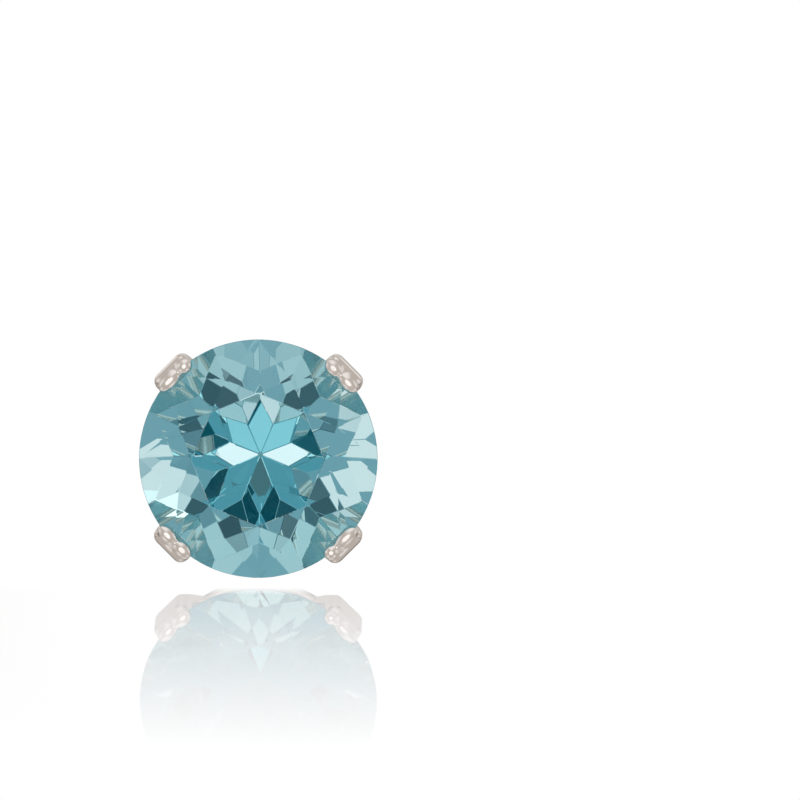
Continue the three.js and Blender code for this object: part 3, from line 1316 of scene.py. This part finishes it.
@dataclass
class Studio:
    """The floor, the cards round the stud, and the camera.

    Attributes:
        seat: Where the stud lies.
        stone_width: Across the girdle, in millimetres.
        azimuth: The camera's, in degrees to the right of the stud's front.
        elevation: The camera's, in degrees up.
        lens: Focal length, in millimetres.
        sensor: Width of the camera's sensor, in millimetres.
        picture: Width of the picture, in pixels.
        stone_pixels: Width of the stone in the picture.
        stone_place: Where the stone's middle lies in the picture, from its upper left corner.
        mirror_depth: How far the floor's mirroring face lies under the stud, in millimetres.
        mirror: Strength of the floor's reflection.
        mirror_haze: Roughness of the floor's reflection.
        mirror_start: How far in front of the frame's middle the reflection starts, in millimetres.
        mirror_full: Where it is strongest.
        mirror_end: Where it has faded out.
        floor_size: Width of the floor, in metres.
        bounces: How often light may turn inside the stone.
        other_bounces: How often it may turn elsewhere.
        stone_fill: The light between the cards that is seen through the stone.
        stone_cards: Those cards.
        silver_fill: The light between the cards that the silver mirrors.
        silver_cards: Those cards.
    """

    seat: Seat
    stone_width: float
    azimuth: float = 1.6
    elevation: float = 10.3
    lens: float = 300.0
    sensor: float = 36.0
    picture: float = 800.0
    stone_pixels: float = 238.5
    stone_place: tuple[float, float] = (258.3, 458.7)
    mirror_depth: float = 0.16
    mirror: float = 0.5
    mirror_haze: float = 0.025
    mirror_start: float = 8.0
    mirror_full: float = 9.0
    mirror_end: float = 29.0
    floor_size: float = 6.0
    bounces: int = 40
    other_bounces: int = 16
    stone_fill: tuple[float, float, float] = (0.26, 0.38, 0.42)
    stone_cards: tuple[Softbox, ...] = (
        Softbox("wall", 105, 10, 15, 0.85, tint=Tint.LAMP, paired=True),
        Softbox("back", 130, 55, 15, 0.65, paired=True),
        Softbox("low wall", 105, -65, 15, 0.6, paired=True),
        Softbox("low back wall", 122, -40, 9, 0.6, paired=True),
        Softbox("low front wall", 50, -50, 9, 0.75, paired=True),
        Softbox("top wall", 135, 85, 7, 0.7, paired=True),
        Softbox("left wall", -112, -25, 9, 0.85, tint=Tint.LAMP),
        Softbox("reflector", 110, 25, 7, 1.5, tint=Tint.LAMP),
        Softbox("front low", 0, -60, 15, 0.9, tint=Tint.LAMP),
        Softbox("side flag", 70, -5, 10, 0.08, tint=Tint.SHADE, paired=True),
        Softbox("high flag", 90, 40, 9, 0.06, tint=Tint.SHADE, paired=True),
        Softbox("quadrangle flag", 82, -25, 11, 0.08, tint=Tint.SHADE, paired=True),
        Softbox("low flag", 75, -55, 9, 0.06, tint=Tint.SHADE, paired=True),
        Softbox("top flag", 100, 70, 8, 0.06, tint=Tint.SHADE, paired=True),
        Softbox("near flag", 40, 15, 10, 0.06, tint=Tint.SHADE, paired=True),
        Softbox("over flag", 25, 45, 8, 0.06, tint=Tint.SHADE, paired=True),
        Softbox("window", 15, 36, 5, 1.0, soft=2, tint=Tint.LAMP, paired=True),
        Softbox("camera's shade", 0, 20, 8, 0.2),
        Softbox("front", 0, 0, 6, 0.8, soft=2),
        Softbox("front light", 10, 5, 4, 1.2, soft=1, tint=Tint.KEY, paired=True),
    )
    silver_fill: tuple[float, float, float] = (0.52, 0.49, 0.46)
    silver_cards: tuple[Softbox, ...] = (
        Softbox("backdrop", 178, 10, 7, 1.0, soft=2),
        Softbox("overhead", 0, 80, 30, 0.9, soft=10),
        Softbox("side", 72, 15, 20, 0.8, soft=8, paired=True),
        Softbox("back", 140, 25, 14, 1.0, soft=6, paired=True),
        Softbox("below", 0, -80, 18, 0.8, soft=8),
        Softbox("side flag", 105, -15, 10, 0.12, soft=6, paired=True),
        Softbox("low back flag", 150, -35, 12, 0.15, soft=6, paired=True),
        Softbox("over front", 0, 52, 13, 0.95, soft=8),
        Softbox("low side", 45, -38, 13, 0.85, soft=8, paired=True),
        Softbox("front", -2, 5, 17, 1.5, soft=5),
        Softbox("camera's lens", -1.6, 4.1, 4, 0.04, soft=1.5),
    )

    def camera(self) -> bpy.types.Object:
        """Sets up the camera.

        Returns:
            The camera.
        """
        data = bpy.data.cameras.new("camera")
        data.lens = self.lens
        data.sensor_width = self.sensor
        data.clip_start = 0.01
        data.shift_x = 0.5 - self.stone_place[0] / self.picture
        data.shift_y = self.stone_place[1] / self.picture - 0.5
        camera = bpy.data.objects.new("camera", data)
        bpy.context.scene.collection.objects.link(camera)
        target = self.seat.matrix() @ Vector((0.0, 0.0, 0.0))
        share = self.stone_pixels / self.picture
        distance = self.stone_width * MM * self.lens / (self.sensor * share)
        towards = direction(self.azimuth, self.elevation)
        camera.location = target + towards * distance
        camera.rotation_euler = (-towards).to_track_quat("-Z", "Y").to_euler()
        bpy.context.scene.camera = camera
        return camera

    def floor(self) -> bpy.types.Object:
        """Lays the white floor, with a faint reflection that fades towards the camera.

        Light on its way to the stone and the silver passes the floor as if it weren't there.

        Returns:
            The floor.
        """
        bpy.ops.mesh.primitive_plane_add(size=self.floor_size, location=(0, 0, -self.mirror_depth * MM))
        floor = new_piece("floor")
        floor.visible_transmission = False
        floor.visible_glossy = False
        material = bpy.data.materials.new("white floor")
        material.use_nodes = True
        tree = material.node_tree
        tree.nodes.remove(tree.nodes["Principled BSDF"])
        white = add_node(tree, "Emission")
        mirror = add_node(tree, "BsdfGlossy", {"Color": WHITE, "Roughness": self.mirror_haze})
        place = add_node(tree, "TexCoord").outputs["Object"]
        along = add_node(tree, "SeparateXYZ", {"Vector": place}).outputs["Y"]
        ramps = {}
        for index, nought in enumerate((self.mirror_start, self.mirror_end)):
            ramps[index] = add_node(tree, "MapRange", {
                "From Min": -nought * MM,
                "From Max": -self.mirror_full * MM,
                "To Min": 0.0,
                "To Max": self.mirror,
                "Value": along,
            }).outputs["Result"]
        fade = add_node(tree, "Math", ramps, operation="MINIMUM").outputs["Value"]
        inputs = {"Fac": fade, 1: white.outputs["Emission"], 2: mirror.outputs["BSDF"]}
        surface = add_node(tree, "MixShader", inputs).outputs["Shader"]
        set_inputs(tree, tree.nodes["Material Output"], {"Surface": surface})
        floor.data.materials.append(material)
        return floor

    def lit_cards(
        self,
        tree: bpy.types.NodeTree,
        fill: tuple[float, float, float],
        cards: tuple[Softbox, ...],
    ) -> bpy.types.NodeSocket:
        """Hangs one set of cards round the stud.

        Args:
            tree: The world's nodes.
            fill: The light between the cards.
            cards: The cards, each over the ones before it.

        Returns:
            The light that comes from each direction.
        """
        place = add_node(tree, "TexCoord").outputs["Generated"]
        ground = add_node(tree, "RGB").outputs["Color"]
        ground.default_value = (*fill, 1.0)
        light = ground
        for card in cards:
            for aim in card.directions():
                towards = add_node(tree, "VectorMath", {1: aim, 0: place}, operation="DOT_PRODUCT")
                towards.label = card.name
                edge = add_node(tree, "MapRange", {
                    "From Min": math.cos(math.radians(card.reach + card.soft)),
                    "From Max": math.cos(math.radians(card.reach - card.soft)),
                    "Value": towards.outputs["Value"],
                }, interpolation_type="SMOOTHSTEP")
                light = add_node(tree, "Mix", {
                    "B": (*(card.light * part for part in card.tint.value), 1.0),
                    "Factor": edge.outputs["Result"],
                    "A": light,
                }, data_type="RGBA").outputs["Result"]
        return light

    def world(self) -> None:
        """Lights the stone and the silver each with its own cards, before a plain white background."""
        world = bpy.data.worlds.new("studio")
        bpy.context.scene.world = world
        world.use_nodes = True
        tree = world.node_tree
        stone_light = self.lit_cards(tree, self.stone_fill, self.stone_cards)
        light = self.lit_cards(tree, self.silver_fill, self.silver_cards)
        kinds = add_node(tree, "LightPath").outputs
        for kind, seen in (("Is Transmission Ray", stone_light), ("Is Camera Ray", WHITE)):
            inputs = {"Factor": kinds[kind], "A": light, "B": seen}
            light = add_node(tree, "Mix", inputs, data_type="RGBA").outputs["Result"]
        set_inputs(tree, tree.nodes["Background"], {"Color": light})

    def build(self) -> None:
        """Sets up the whole studio."""
        scene = bpy.context.scene
        scene.view_settings.view_transform = "Standard"
        scene.cycles.max_bounces = self.bounces
        scene.cycles.transmission_bounces = self.bounces
        scene.cycles.glossy_bounces = self.other_bounces
        scene.cycles.transparent_max_bounces = self.other_bounces
        self.camera()
        self.floor()
        self.world()


def main() -> None:
    """Builds the stud and its studio."""
    logging.basicConfig(level=logging.INFO, format="%(name)s: %(message)s")
    stone = Stone()
    setting = Setting(stone)
    nut = ButterflyNut(setting)
    seat = Seat(setting.base_back)
    gem = stone.build()
    stone.soften(gem)
    stone.finish(gem)
    put_in_frame(gem, "stone", seat)
    silver = setting.build()
    smooth(silver, SMOOTH_EDGE)
    silver.data.materials.append(SilverFinish("setting silver").material())
    put_in_frame(silver, "setting", seat)
    clasp = nut.build()
    smooth(clasp, SMOOTH_EDGE)
    clasp.data.materials.append(SilverFinish("nut silver").material())
    clasp.visible_glossy = False
    put_in_frame(clasp, "butterfly_nut", seat)
    Studio(seat, stone.width).build()


if __name__ == "__main__":
    main()
